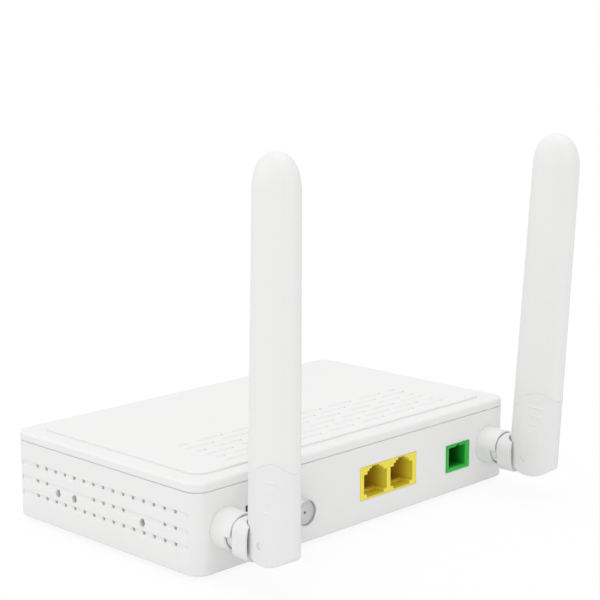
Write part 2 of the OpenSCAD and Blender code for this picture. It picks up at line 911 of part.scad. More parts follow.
// Metal block behind the receptacle with the laser can behind it and the detector can on its side
module optical_module() {
  size = 9;
  color(steel)
    on_panel(optic_x, board_top)
      translate([0, optic_h / 2, -optic_depth - size]) {
        translate([-size / 2, -optic_h / 2, 0])
          cube([size, optic_h / 2 + size / 2, size]);
        translate([0, 0, -5])
          cylinder(h = 5 + eps, d = 5.6);
        translate([size / 2 - eps, 0, size / 2])
          rotate([0, 90, 0])
            cylinder(h = 4, d = 5.6);
      }
}

// Stamped shield: open below, holes in the top
module shield_can(w, d, h) {
  t = 0.3;
  difference() {
    cube([w, d, h]);
    translate([t, t, -eps])
      cube([w - 2 * t, d - 2 * t, h - t + eps]);
    for (x = [1:3], y = [1:3])
      translate([x * w / 4, y * d / 4, h - 2 * t])
        cylinder(h = 3 * t, d = 1.4, $fn = 16);
  }
}

module optical_shield() {
  color(steel)
    translate([36, -10, board_z])
      shield_can(18, 14, 3);
}

module wireless_shield() {
  color(steel)
    translate([-50, 2, board_z])
      shield_can(26, 22, 3);
}

module television_shield() {
  color(steel)
    translate([-47, -31, board_z])
      shield_can(20, 20, 4);
}

module processor() {
  color(black)
    translate([-0.5, -4.5, board_z])
      cube([17, 17, 1.4]);
}

module thermal_pad() {
  color([0.6, 0.65, 0.72])
    translate([0.5, -3.5, board_z + 1.4])
      cube([15, 15, 0.6]);
}

// Extruded sink: a base with a row of fins
module heat_sink() {
  size = 32;
  fins = 9;
  fin_t = 1;
  color([0.25, 0.26, 0.28])
    translate([8 - size / 2, 4 - size / 2, board_z + 2]) {
      cube([size, size, 2]);
      for (k = [0:fins - 1])
        translate([k * (size - fin_t) / (fins - 1), 0, 2 - eps])
          cube([fin_t, size, 6]);
    }
}

// Flat package with a row of legs on two sides
module leaded_chip(w, d, h, legs) {
  translate([0, 0.8, 0.15])
    cube([w, d - 1.6, h]);
  for (k = [0:legs - 1], e = [0, 1])
    translate([0.5 + k * (w - 1.4) / (legs - 1), e * (d - 1), 0])
      cube([0.4, 1, 0.15 + eps]);
}

module memory_chip() {
  color(black)
    translate([30, 10, board_z])
      leaded_chip(13, 10, 1, 14);
}

module flash_chip() {
  color(black)
    translate([48, 12, board_z])
      leaded_chip(5.2, 8, 1.4, 4);
}

// Upright can with a black base and a crimp groove
module filter_can(r, h) {
  rotate_extrude()
    polygon([
      [0, 0], [r, 0], [r, h * 0.16], [r - 0.4, h * 0.2], [r, h * 0.24],
      [r, h - 0.4], [r - 0.4, h], [0, h]
    ]);
}

module filter_capacitors() {
  color([0.2, 0.22, 0.3]) {
    translate([-56.5, -27, board_z])
      filter_can(4, 10);
    translate([-56, -17.5, board_z])
      filter_can(3.2, 8);
    translate([30, -21, board_z])
      filter_can(3.2, 8);
  }
}

module power_inductors() {
  color([0.35, 0.34, 0.33])
    for (y = [-11, -3])
      translate([-58, y, board_z])
        difference() {
          cube([6, 6, 2.8]);
          for (x = [0, 6], d = [0, 6])
            translate([x, d, -1])
              rotate([0, 0, 45])
                cube([1.4, 1.4, 9], center = true);
        }
}

module crystals() {
  color(steel)
    for (p = [[-18, 12], [28, 24]])
      translate([p[0], p[1], board_z]) {
        cube([3.2, 2.5, 0.5]);
        translate([0.2, 0.2, 0.5 - eps])
          cube([2.8, 2.1, 0.3]);
      }
}

// Right-angle push switches at the left edge of the board
module switch_bodies() {
  color(black)
    for (y = switch_y)
      translate([board_left_x, panel_y + y, board_z])
        difference() {
          translate([0, -switch_w / 2, 0])
            cube([switch_d, switch_w, switch_h]);
          translate([-1, 0, base_z + switch_z - board_z])
            rotate([0, 90, 0])
              cylinder(h = 1 + plunger_well, r = plunger_r + turn_gap, $fn = 32);
        }
}

module switch_plunger(y) {
  color([0.2, 0.2, 0.21])
    translate([board_left_x - plunger_out, panel_y + y, base_z + switch_z])
      rotate([0, 90, 0])
        rotate_extrude($fn = 32)
          polygon([
            [0, 0], [plunger_r - 0.3, 0], [plunger_r, 0.3],
            [plunger_r, plunger_out + plunger_in], [0, plunger_out + plunger_in]
          ]);
}

module antenna_plugs() {
  color(gold)
    for (p = [left_plug_at, right_plug_at])
      translate([p[0] - plug_size[0] / 2, p[1] - plug_size[1] / 2, board_z])
        difference() {
          cube(plug_size);
          translate([plug_size[0] / 2, plug_size[1] / 2, plug_size[2] - 0.4])
            cylinder(h = 1, r = 1, $fn = 32);
        }
}

// Frame of an antenna: origin on the collar axis at the panel face, -Y outward
module at_antenna(side) {
  translate([side * ant_x, panel_y, axis_z])
    children();
}

// Round bar along the antenna axis between two distances outward from the panel
module bar_out(from, to, r) {
  translate([0, -from, 0])
    rotate([90, 0, 0])
      cylinder(h = to - from, r = r);
}

// Frame of a blade: origin on the fold axis, +Z along the blade, -Y on its outer edge
module at_blade(side) {
  swivel = side < 0 ? left_swivel : right_swivel;
  fold = side < 0 ? left_fold : right_fold;
  at_antenna(side)
    rotate([0, swivel, 0])
      translate([0, -hinge_out, 0])
        rotate([fold, 0, 0])
          children();
}

// Fixed sleeve: shoulder on the panel, hooked spigot through it, half the rim cut back as a stop
module antenna_collar(side) {
  color(white)
    at_antenna(side)
      difference() {
        union() {
          rotate([90, 0, 0])
            cylinder(h = collar_out, r1 = collar_d / 2, r2 = collar_rim_r);
          bar_out(-spigot_len, eps, spigot_r);
          bar_out(-spigot_len, -spigot_len + spigot_lip_t, spigot_lip_r);
        }
        bar_out(0.8, collar_out + 1, collar_bore_r);
        bar_out(collar_out - seat_depth, collar_out + 1, seat_r);
        bar_out(-spigot_len - 1, 1, spigot_bore_r);
        translate([-collar_d, -collar_out - 1, -collar_d])
          cube([2 * collar_d, collar_notch + 1, collar_d]);
        for (turn = [45, 135])
          rotate([0, turn, 0])
            translate([-stem_slot_w / 2, wall, -collar_d])
              cube([stem_slot_w, spigot_len, 2 * collar_d]);
      }
}

// Cross section of the knuckle head, which hangs lower than the neck
module head_section(low) {
  translate([0, (head_top - low) / 2])
    plan(2 * head_half_w, head_top + low, head_corner_r);
}

// Turning piece: stem and neck inside the collar, ringed head with two ears beside the turning foot
module antenna_knuckle(side) {
  swivel = side < 0 ? left_swivel : right_swivel;
  ring_from = collar_out + pass_gap;
  head_from = ring_from + ring_t;
  color(white)
    at_antenna(side)
      rotate([0, swivel, 0])
        difference() {
          union() {
            bar_out(-spigot_len - pass_gap - stem_lip_t, 1.2, stem_r);
            bar_out(-spigot_len - pass_gap - stem_lip_t, -spigot_len - pass_gap, stem_lip_r);
            bar_out(1.1, head_from, neck_r);
            bar_out(collar_out - seat_depth + pass_gap, head_from, shoulder_r);
            bar_out(ring_from, head_from, ring_r);
            translate([-stop_half_w, -ring_from - 0.1, -collar_rim_r + 0.2])
              cube([2 * stop_half_w, collar_notch - 0.2, collar_rim_r - 1]);
            difference() {
              translate([0, -head_from + eps, 0])
                rotate([90, 0, 0]) {
                  linear_extrude(head_step + eps)
                    head_section(head_low);
                  translate([0, 0, head_step])
                    linear_extrude(heel_end - head_from - head_step)
                      head_section(heel_low);
                }
              translate([0, -hinge_out, 0])
                rotate([0, 90, 0])
                  cylinder(h = 2 * ear_from, r = socket_r, center = true);
              translate([-ear_from, -hinge_out - socket_r, 0])
                cube([2 * ear_from, socket_r + blade_w / 2 + blade_offset + pass_gap, socket_r]);
            }
            translate([0, -hinge_out, 0])
              rotate([0, 90, 0])
                cylinder(h = tongue_t, r = tongue_r, center = true);
            translate([-tongue_t / 2, -hinge_out, -tongue_neck_h])
              cube([tongue_t, hinge_out - head_from - 0.2, 2 * tongue_neck_h]);
          }
          bar_out(-spigot_len - 4, head_from + 1, lead_bore_r);
          translate([0, -hinge_out, 0])
            rotate([0, 90, 0])
              cylinder(h = 2 * tongue_t, r = pin_bore_r, center = true);
          translate([-stem_slot_w / 2, -0.5, -collar_d])
            cube([stem_slot_w, spigot_len + 4, 2 * collar_d]);
        }
}

module antenna_pin(side) {
  color(white)
    at_blade(side)
      rotate([0, 90, 0])
        cylinder(h = blade_t - 2 * pin_recess, r = pin_r, center = true);
}

// Oval ring of a blade at height h, drawn in by the given margin and shrunk by the given share
function blade_ring(h, margin, share) =
  let (keep = 1 - blade_taper * h / blade_len,
       a = (blade_t / 2 * keep - margin) * share,
       b = (blade_w / 2 * keep - margin) * share)
  [for (k = [0:oval_points - 1])
    let (c = cos(360 * k / oval_points), s = sin(360 * k / oval_points))
    [sign(c) * a * pow(abs(c), 2 / oval_power), blade_offset + sign(s) * b * pow(abs(s), 2 / oval_power), h]];

// Share of the section left at a fraction of the dome's height
function dome_share(q) = pow(1 - pow(q, dome_power), 1 / dome_power);

// Solid skinned over a stack of rings with flat ends
module skin(rings) {
  n = len(rings[0]);
  last = len(rings) - 1;
  side_faces = [for (i = [0:last - 1], k = [0:n - 1])
    let (a = i * n + k, b = i * n + (k + 1) % n)
    each [[a, a + n, b], [b, a + n, b + n]]];
  ends = [[for (k = [0:n - 1]) k], [for (k = [n - 1:-1:0]) last * n + k]];
  polyhedron([for (r = rings) each r], concat(side_faces, ends));
}

// Rings of a blade from the given height up to a domed tip
function blade_stack(from, margin, top) = concat(
  [blade_ring(from, margin, 1)],
  [blade_ring(top - blade_dome, margin, 1)],
  [for (q = [0.25, 0.47, 0.65, 0.79, 0.89, 0.955, 0.99])
    blade_ring(top - blade_dome * (1 - q), margin, dome_share(q))]
);

// Height of the joint at a share of the half width, -1 at the outer edge and 1 at the inner edge
function seam_at(t) = blade_split + seam_curve[0] * t + seam_curve[1] * t * t + seam_curve[2] * t * t * t;

// Everything below the curved joint between foot and sleeve
module below_joint() {
  rotate([90, 0, 90])
    linear_extrude(2 * blade_t, center = true)
      polygon(concat(
        [for (k = [0:seam_steps])
          let (t = 2.2 * k / seam_steps - 1.1)
          [blade_offset + t * blade_w / 2, seam_at(t)]],
        [[blade_w, -2 * foot_low], [-blade_w, -2 * foot_low]]
      ));
}

// Side profile of the foot: a wide arc below, straight edges above
module foot_profile() {
  translate([blade_offset, foot_round - foot_low]) {
    circle(foot_round);
    translate([-foot_round, 0])
      square([2 * foot_round, blade_split + plug_len]);
  }
}

// Lower end of the blade: two cheeks round the tongue and a plug for the sleeve
module antenna_foot(side) {
  color(white)
    at_blade(side)
      difference() {
        intersection() {
          union() {
            intersection() {
              skin([blade_ring(-foot_low - 1, 0, 1), blade_ring(blade_split + seam_drop, 0, 1)]);
              below_joint();
            }
            skin([
              blade_ring(blade_split - seam_drop, sleeve_wall + plug_gap, 1),
              blade_ring(blade_split + plug_len, sleeve_wall + plug_gap, 1)
            ]);
          }
          rotate([90, 0, 90])
            linear_extrude(2 * blade_t, center = true)
              foot_profile();
        }
        rotate([0, 90, 0])
          cylinder(h = slot_t, r = slot_r, center = true);
        translate([-slot_t / 2, -tongue_neck_h - 0.4, -2 * foot_low])
          cube([slot_t, blade_w, 2 * foot_low + tongue_neck_h + 0.4]);
        rotate([0, 90, 0])
          cylinder(h = 2 * blade_t, r = pin_r, center = true);
      }
}

module antenna_sleeve(side) {
  color(white)
    at_blade(side)
      difference() {
        skin(blade_stack(blade_split - seam_drop, 0, blade_len));
        below_joint();
        skin(blade_stack(blade_split - seam_drop - 1, sleeve_wall, blade_len - tip_wall));
      }
}

// Printed strip that radiates, standing on the plug of the foot
module antenna_element(side) {
  strip_w = 9;
  strip_t = 0.8;
  strip_len = 74;
  color(board_green)
    at_blade(side)
      translate([-strip_t / 2, blade_offset - strip_w / 2, blade_split + plug_len])
        difference() {
          cube([strip_t, strip_w, strip_len]);
          translate([-1, strip_w * 0.4, strip_len * 0.3])
            cube([3, strip_w * 0.2, strip_len * 0.7 + 1]);
        }
}

// Point on a smooth curve through the route's points
function route_point(p, i, t) =
  let (n = len(p) - 1,
       a = p[max(i - 1, 0)], b = p[i], c = p[min(i + 1, n)], d = p[min(i + 2, n)])
  0.5 * ((2 * b) + (c - a) * t + (2 * a - 5 * b + 4 * c - d) * t * t + (3 * b - a - 3 * c + d) * t * t * t);

function route(p) = concat(
  [for (i = [0:len(p) - 2], k = [0:lead_fill - 1]) route_point(p, i, k / lead_fill)],
  [p[len(p) - 1]]
);

function unit(v) = v / norm(v);

// Ring of a lead: square to the route, its first corner turned towards +Z where the route is level
function lead_ring(path, i) =
  let (n = len(path) - 1,
       along = unit(path[min(i + 1, n)] - path[max(i - 1, 0)]),
       flat = unit(cross(along, [0, 0, 1])),
       lift = cross(flat, along))
  [for (k = [0:lead_sides - 1])
    let (turn = 360 * (k + 0.5) / lead_sides)
    path[i] + lead_r * (cos(turn) * flat + sin(turn) * lift)];

module antenna_lead(points) {
  path = route(points);
  color([0.3, 0.3, 0.32])
    skin([for (i = [0:len(path) - 1]) lead_ring(path, i)]);
}

base_tray();
top_cover();
rubber_feet();
case_screws();
main_board();
board_screws();
light_pipe();
status_leds();
dc_inlet_body();
dc_inlet_pin();
dc_inlet_spring();
rf_connector_shell();
rf_connector_insulator();
rf_connector_contact();
network_jack_housing();
network_jack_contacts();
network_transformer();
fibre_receptacle();
fibre_sleeve();
optical_module();
optical_shield();
processor();
thermal_pad();
heat_sink();
memory_chip();
flash_chip();
wireless_shield();
television_shield();
filter_capacitors();
power_inductors();
crystals();
switch_bodies();
switch_plunger(switch_y[2]);  // wireless_switch_plunger
switch_plunger(switch_y[1]);  // pairing_switch_plunger
switch_plunger(switch_y[0]);  // reset_switch_plunger
antenna_plugs();
antenna_collar(-1);  // left_antenna_collar
antenna_knuckle(-1);  // left_antenna_knuckle
antenna_pin(-1);  // left_antenna_pin
antenna_foot(-1);  // left_antenna_foot
antenna_sleeve(-1);  // left_antenna_sleeve
antenna_element(-1);  // left_antenna_element
antenna_lead(left_lead_points);  // left_antenna_lead
antenna_collar(1);  // right_antenna_collar
antenna_knuckle(1);  // right_antenna_knuckle
antenna_pin(1);  // right_antenna_pin
antenna_foot(1);  // right_antenna_foot
antenna_sleeve(1);  // right_antenna_sleeve
antenna_element(1);  // right_antenna_element
antenna_lead(right_lead_points);  // right_antenna_lead
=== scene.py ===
import bpy
import json
import math
from mathutils import Matrix, Vector


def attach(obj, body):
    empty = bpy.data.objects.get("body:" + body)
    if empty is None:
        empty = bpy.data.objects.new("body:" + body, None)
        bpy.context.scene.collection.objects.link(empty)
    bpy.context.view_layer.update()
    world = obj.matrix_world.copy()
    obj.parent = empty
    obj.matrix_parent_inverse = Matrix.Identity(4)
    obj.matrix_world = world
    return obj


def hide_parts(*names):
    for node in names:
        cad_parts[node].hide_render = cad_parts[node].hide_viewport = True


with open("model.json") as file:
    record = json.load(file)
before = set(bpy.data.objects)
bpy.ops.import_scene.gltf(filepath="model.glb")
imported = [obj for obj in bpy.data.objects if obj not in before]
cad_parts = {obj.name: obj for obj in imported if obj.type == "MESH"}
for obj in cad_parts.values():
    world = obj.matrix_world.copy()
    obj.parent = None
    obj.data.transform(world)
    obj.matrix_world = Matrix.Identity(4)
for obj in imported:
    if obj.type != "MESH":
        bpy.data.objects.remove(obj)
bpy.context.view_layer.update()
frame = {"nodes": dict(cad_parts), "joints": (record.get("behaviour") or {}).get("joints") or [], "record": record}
nodes = frame["nodes"]
record = frame["record"]
mm = 0.001
print("frame loaded,", len(nodes), "nodes")


class Wire:  # a socket that can stand in a sum
    def __init__(self, paint, socket):
        self.paint = paint
        self.socket = socket

    def maths(self, operation, first, second):
        return self.paint.node("ShaderNodeMath", {"operation": operation}, {0: first, 1: second})

    def __add__(self, other):
        return self.maths("ADD", self, other)

    def __radd__(self, other):
        return self.maths("ADD", other, self)

    def __rsub__(self, other):
        return self.maths("SUBTRACT", other, self)

    def __mul__(self, other):
        return self.maths("MULTIPLY", self, other)

    def __rmul__(self, other):
        return self.maths("MULTIPLY", other, self)


class Paint:  # the node tree of one finish
    def __init__(self, owner):
        owner.use_nodes = True
        self.owner = owner
        self.tree = owner.node_tree
        self.tree.nodes.clear()

    def node(self, kind, settings, sockets, out=0):
        made = self.tree.nodes.new(kind)
        for name, value in settings.items():
            setattr(made, name, value)
        for key, value in sockets.items():
            if isinstance(value, Wire):
                self.tree.links.new(value.socket, made.inputs[key])
            else:
                made.inputs[key].default_value = value
        return Wire(self, made.outputs[out]) if made.outputs else made

    def place(self):
        return self.node("ShaderNodeTexCoord", {}, {}, "Object")

    def path(self, kind):  # 1 for rays of one kind, 0 for the others
        return self.node("ShaderNodeLightPath", {}, {}, kind)

    def moved(self, spot=(0, 0, 0), stretch=(1, 1, 1)):  # object coordinates with a middle and a stretch
        return self.node("ShaderNodeMapping", {"vector_type": "TEXTURE"},
                         {"Vector": self.place(), "Location": spot, "Scale": stretch})

    def noise(self, scale, detail=2, rough=0.5, spot=None):
        return self.node("ShaderNodeTexNoise", {}, {"Vector": spot or self.place(), "Scale": scale,
                                                    "Detail": detail, "Roughness": rough}, "Fac")

    def cells(self, scale):
        return self.node("ShaderNodeTexVoronoi", {}, {"Vector": self.place(), "Scale": scale}, "Distance")

    def bands(self, scale, direction):
        return self.node("ShaderNodeTexWave", {"wave_type": "BANDS", "bands_direction": direction},
                         {"Vector": self.place(), "Scale": scale, "Detail": 1}, "Fac")

    def rings(self, scale, axis, spot, wobble):
        return self.node("ShaderNodeTexWave", {"wave_type": "RINGS", "rings_direction": axis},
                         {"Vector": spot, "Scale": scale, "Distortion": wobble, "Detail": 1}, "Fac")

    def fade(self, value, low, high):  # 0 up to low, 1 from high on, soft between
        return self.node("ShaderNodeMapRange", {"interpolation_type": "SMOOTHSTEP"},
                         {"Value": value, "From Min": low, "From Max": high})

    def mix(self, amount, first, second):
        return self.node("ShaderNodeMix", {"data_type": "RGBA"}, {0: amount, 6: first, 7: second}, 2)

    def paintedShadeInside(self, colour, look):  # painted shade: a socket's colour goes over to a darker one behind its mouth, standing in for the shade deep in the cavity
        behind = self.node("ShaderNodeSeparateXYZ", {}, {0: self.place()}, "Y")
        share = look["shade"] * self.fade(behind, look["mouth"], look["back"])
        return self.mix(share, colour, look["inside"])

    def edge(self, radius):  # normal that rounds the sharp edges of a node
        return self.node("ShaderNodeBevel", {"samples": 6}, {"Radius": radius})

    def bump(self, height, depth, normal=None):
        sockets = {"Height": height, "Distance": depth}
        if normal:
            sockets["Normal"] = normal
        return self.node("ShaderNodeBump", {}, sockets)

    def surface(self, sockets):
        shader = self.node("ShaderNodeBsdfPrincipled", {}, sockets)
        self.node("ShaderNodeOutputMaterial", {}, {"Surface": shader})
        return self.owner


def newPaint(name):
    return Paint(bpy.data.materials.new(name))


def mouldedWhite(look):  # the skin of the mould over a faint flow in the colour
    paint = newPaint(look["name"])
    grain = paint.noise(look["grain"], look["detail"], look["rough"])
    flow = paint.noise(look["flow"])
    return paint.surface({
        "Base Color": paint.mix(flow, look["low"], look["high"]),
        "Roughness": look["gloss"][0] + look["gloss"][1] * grain,
        "Specular IOR Level": look["specular"],
        "Normal": paint.bump(grain, look["skin"], paint.edge(look["edge"])),
    })


whiteLooks = {
    "case_white": {"name": "caseWhite", "low": (0.800, 0.800, 0.795, 1), "high": (0.825, 0.825, 0.820, 1),
                   "flow": 24, "grain": 2400, "detail": 3, "rough": 0.6, "gloss": (0.40, 0.16),
                   "specular": 0.45, "skin": 0.000012, "edge": 0.0004},
    "antenna_white": {"name": "antennaWhite", "low": (0.800, 0.800, 0.792, 1),
                      "high": (0.822, 0.822, 0.815, 1), "flow": 30, "grain": 3200, "detail": 2, "rough": 0.5,
                      "gloss": (0.38, 0.14), "specular": 0.42, "skin": 0.000007, "edge": 0.0004},
}


def grained(look):  # one noise gives the colour, the gloss and the relief
    paint = newPaint(look["name"])
    drawn = paint.moved(stretch=look["stretch"]) if "stretch" in look else None
    grain = paint.noise(look["grain"], look["detail"], look["rough"], drawn)
    rounding = paint.edge(look["edge"]) if "edge" in look else None
    return paint.surface({
        "Base Color": paint.mix(grain, look["deep"], look["pale"]),
        "Roughness": look["gloss"][0] + look["gloss"][1] * grain,
        "Normal": paint.bump(grain, look["skin"], rounding),
        **look.get("more", {}),
    })


metal = {"Metallic": 1.0}
grainLooks = {
    "inlet_black": {"name": "inletBlack", "deep": (0.006, 0.006, 0.007, 1), "pale": (0.016, 0.016, 0.017, 1),
                    "grain": 2600, "detail": 3, "rough": 0.6, "gloss": (0.42, 0.2), "skin": 0.00001,
                    "edge": 0.00015},
    "plunger_black": {"name": "plungerBlack", "deep": (0.010, 0.010, 0.011, 1),
                      "pale": (0.024, 0.024, 0.026, 1), "grain": 3200, "detail": 2, "rough": 0.5,
                      "gloss": (0.34, 0.16), "skin": 0.000006, "edge": 0.00012},
    "chip_black": {"name": "chipBlack", "deep": (0.012, 0.012, 0.013, 1), "pale": (0.030, 0.030, 0.031, 1),
                   "grain": 3000, "detail": 4, "rough": 0.65, "gloss": (0.5, 0.2), "skin": 0.00001,
                   "edge": 0.0001},
    "chip_ivory": {"name": "chipIvory", "deep": (0.62, 0.60, 0.46, 1), "pale": (0.74, 0.72, 0.58, 1),
                   "grain": 900, "detail": 2, "rough": 0.5, "gloss": (0.36, 0.14), "skin": 0.000006,
                   "edge": 0.0001},
    "insulator_grey": {"name": "insulatorGrey", "deep": (0.55, 0.56, 0.56, 1), "pale": (0.62, 0.63, 0.63, 1),
                       "grain": 700, "detail": 3, "rough": 0.55, "gloss": (0.42, 0.16), "skin": 0.000008,
                       "edge": 0.00015},
    "pad_grey": {"name": "padGrey", "deep": (0.30, 0.33, 0.36, 1), "pale": (0.40, 0.43, 0.46, 1),
                 "grain": 2600, "detail": 4, "rough": 0.7, "gloss": (0.7, 0.2), "skin": 0.00002,
                 "edge": 0.0002},
    "lead_grey": {"name": "leadGrey", "deep": (0.16, 0.16, 0.165, 1), "pale": (0.22, 0.22, 0.225, 1),
                  "grain": 1500, "detail": 3, "rough": 0.6, "gloss": (0.4, 0.2), "skin": 0.00001},
    "sleeve_ceramic": {"name": "sleeveCeramic", "deep": (0.78, 0.78, 0.75, 1), "pale": (0.84, 0.84, 0.82, 1),
                       "grain": 1600, "detail": 2, "rough": 0.5, "gloss": (0.12, 0.1), "skin": 0.000002,
                       "edge": 0.0001},
    "light_clear": {"name": "lightClear", "deep": (0.86, 0.88, 0.88, 1), "pale": (0.92, 0.93, 0.93, 1),
                    "grain": 700, "detail": 3, "rough": 0.6, "gloss": (0.10, 0.16), "skin": 0.000005,
                    "edge": 0.00015, "more": {"IOR": 1.49, "Transmission Weight": 0.85}},
    "screw_steel": {"name": "screwSteel", "deep": (0.50, 0.49, 0.47, 1), "pale": (0.63, 0.62, 0.60, 1),
                    "grain": 900, "detail": 3, "rough": 0.6, "gloss": (0.22, 0.22), "skin": 0.000006,
                    "edge": 0.0001, "more": metal},
    "contact_gold": {"name": "contactGold", "deep": (0.66, 0.45, 0.16, 1), "pale": (0.80, 0.59, 0.26, 1),
                     "grain": 2200, "detail": 3, "rough": 0.6, "stretch": (1, 5, 1),  # drawn along the wires
                     "gloss": (0.20, 0.2), "skin": 0.000003, "more": metal},
    "contact_steel": {"name": "contactSteel", "deep": (0.56, 0.56, 0.55, 1), "pale": (0.70, 0.70, 0.68, 1),
                      "grain": 1800, "detail": 3, "rough": 0.6, "stretch": (1, 5, 1), "gloss": (0.18, 0.22),
                      "skin": 0.000004, "edge": 0.0001, "more": metal},
    "shield_steel": {"name": "shieldSteel", "deep": (0.52, 0.53, 0.54, 1), "pale": (0.66, 0.67, 0.68, 1),
                     "grain": 600, "detail": 4, "rough": 0.6, "stretch": (12, 1, 1),  # rolling marks
                     "gloss": (0.26, 0.22), "skin": 0.000008, "edge": 0.0002, "more": metal},
    "sink_aluminium": {"name": "sinkAluminium", "deep": (0.60, 0.61, 0.62, 1), "pale": (0.74, 0.74, 0.75, 1),
                       "grain": 500, "detail": 4, "rough": 0.6, "stretch": (1, 14, 1),  # extrusion lines
                       "gloss": (0.32, 0.2), "skin": 0.000012, "edge": 0.00015, "more": metal},
    "capacitor_can": {"name": "capacitorCan", "deep": (0.62, 0.63, 0.65, 1), "pale": (0.76, 0.77, 0.78, 1),
                      "grain": 900, "detail": 3, "rough": 0.6, "stretch": (6, 6, 1), "gloss": (0.24, 0.18),
                      "skin": 0.000004, "edge": 0.0002, "more": metal},
}


def jackYellow():
    # inside, shade, mouth and back set the painted shade that darkens the cavity behind its mouth
    look = {"deep": (0.83, 0.69, 0.045, 1), "pale": (0.88, 0.76, 0.075, 1), "flow": 420,
            "inside": (0.50, 0.29, 0.008, 1), "shade": 0.85, "mouth": -0.0476, "back": -0.0400,
            "streak": 1500, "stretch": (1, 6, 1), "gloss": (0.30, 0.18), "skin": 0.000006, "edge": 0.00012}
    paint = newPaint("jackYellow")
    flow = paint.noise(look["flow"], 3, 0.6)
    streak = paint.noise(look["streak"], spot=paint.moved(stretch=look["stretch"]))  # drawn along the cavity
    return paint.surface({
        # painted shade deeper in the cavity
        "Base Color": paint.paintedShadeInside(paint.mix(flow, look["deep"], look["pale"]), look),
        "Roughness": look["gloss"][0] + look["gloss"][1] * streak,
        "Specular IOR Level": 0.45,
        "Normal": paint.bump(streak, look["skin"], paint.edge(look["edge"])),
    })


def fibreGreen():
    # inside, shade, mouth and back set the painted shade that darkens the socket behind its mouth
    look = {"deep": (0.012, 0.42, 0.032, 1), "pale": (0.024, 0.49, 0.050, 1), "flow": 500,
            "inside": (0.001, 0.085, 0.005, 1), "shade": 0.9, "mouth": -0.0482, "back": -0.0430,
            "gloss": (0.32, 0.16), "skin": 0.000006, "edge": 0.00015}
    paint = newPaint("fibreGreen")
    flow = paint.noise(look["flow"], 3, 0.6)
    return paint.surface({
        # painted shade deeper in the socket
        "Base Color": paint.paintedShadeInside(paint.mix(flow, look["deep"], look["pale"]), look),
        "Roughness": look["gloss"][0] + look["gloss"][1] * flow,
        "Specular IOR Level": 0.45,
        "Normal": paint.bump(flow, look["skin"], paint.edge(look["edge"])),
    })


def footRubber():
    look = {"rubber": (0.040, 0.040, 0.042, 1), "dusty": (0.085, 0.085, 0.085, 1), "grain": 1800, "dust": 160,
            "dustEnds": (0.5, 0.8), "gloss": (0.72, 0.2), "skin": 0.00004, "edge": 0.0003}
    paint = newPaint("footRubber")
    grain = paint.noise(look["grain"], 4, 0.65)
    dust = paint.fade(paint.noise(look["dust"], 3), *look["dustEnds"])  # pale bloom on the rubber
    return paint.surface({
        "Base Color": paint.mix(dust, look["rubber"], look["dusty"]),
        "Roughness": look["gloss"][0] + look["gloss"][1] * grain,
        "Specular IOR Level": 0.3,
        "Normal": paint.bump(grain, look["skin"], paint.edge(look["edge"])),
    })


def connectorNickel():
    look = {"axis": (-0.03845, 0, 0.0155), "turning": 2600, "wobble": 0.6, "stain": 380,
            "dull": (0.60, 0.60, 0.59, 1), "bright": (0.72, 0.71, 0.69, 1), "gloss": (0.24, 0.10, 0.10),
            "skin": 0.000003, "edge": 0.0001}
    paint = newPaint("connectorNickel")
    tool = paint.rings(look["turning"], "Y", paint.moved(look["axis"]), look["wobble"])  # marks of the lathe
    stain = paint.noise(look["stain"], 3, 0.6)
    plain, byTool, byStain = look["gloss"]
    return paint.surface({
        "Base Color": paint.mix(stain, look["dull"], look["bright"]),
        "Metallic": 1.0,
        "Roughness": plain + byTool * tool + byStain * stain,
        "Normal": paint.bump(tool, look["skin"], paint.edge(look["edge"])),
    })


def boardGreen():
    look = {"mask": (0.010, 0.115, 0.040, 1), "copper": (0.022, 0.190, 0.062, 1), "track": 150, "pour": 70,
            "trackEnds": (0.60, 0.72), "areaEnds": (0.47, 0.53), "pourEnds": (0.56, 0.58),
            "pourShare": 0.6, "pourSpot": (0.3, 0.1, 0), "weave": 2600, "weaveRise": 0.15,
            "gloss": (0.24, 0.14), "coat": (0.25, 0.2), "skin": 0.000035}
    paint = newPaint("boardGreen")
    across = paint.fade(paint.bands(look["track"], "X"), *look["trackEnds"])  # tracks under the solder mask
    along = paint.fade(paint.bands(look["track"], "Y"), *look["trackEnds"])
    area = paint.fade(paint.noise(look["pour"], 1), *look["areaEnds"])
    spread = paint.noise(look["pour"] * look["pourShare"], 1, spot=paint.moved(look["pourSpot"]))
    pour = paint.fade(spread, *look["pourEnds"])
    copper = (across * area + along * (1 - area)) * (1 - pour) + pour
    weave = paint.noise(look["weave"], 2, 0.6)  # glass cloth showing through
    return paint.surface({
        "Base Color": paint.mix(copper, look["mask"], look["copper"]),
        "Roughness": look["gloss"][0] + look["gloss"][1] * weave,
        "Coat Weight": look["coat"][0] + look["coat"][1] * copper,
        "Normal": paint.bump(copper + look["weaveRise"] * weave, look["skin"]),
    })


def ferriteGrey():
    look = {"deep": (0.040, 0.042, 0.046, 1), "pale": (0.078, 0.080, 0.086, 1), "grain": 2200, "pores": 1500,
            "poreEnds": (0.05, 0.3), "gloss": (0.55, 0.2), "skin": 0.00002, "edge": 0.00015}
    paint = newPaint("ferriteGrey")
    grain = paint.noise(look["grain"], 4, 0.7)
    pores = paint.fade(paint.cells(look["pores"]), *look["poreEnds"])
    return paint.surface({
        "Base Color": paint.mix(grain, look["deep"], look["pale"]),
        "Roughness": look["gloss"][0] + look["gloss"][1] * grain,
        "Normal": paint.bump(pores, look["skin"], paint.edge(look["edge"])),
    })


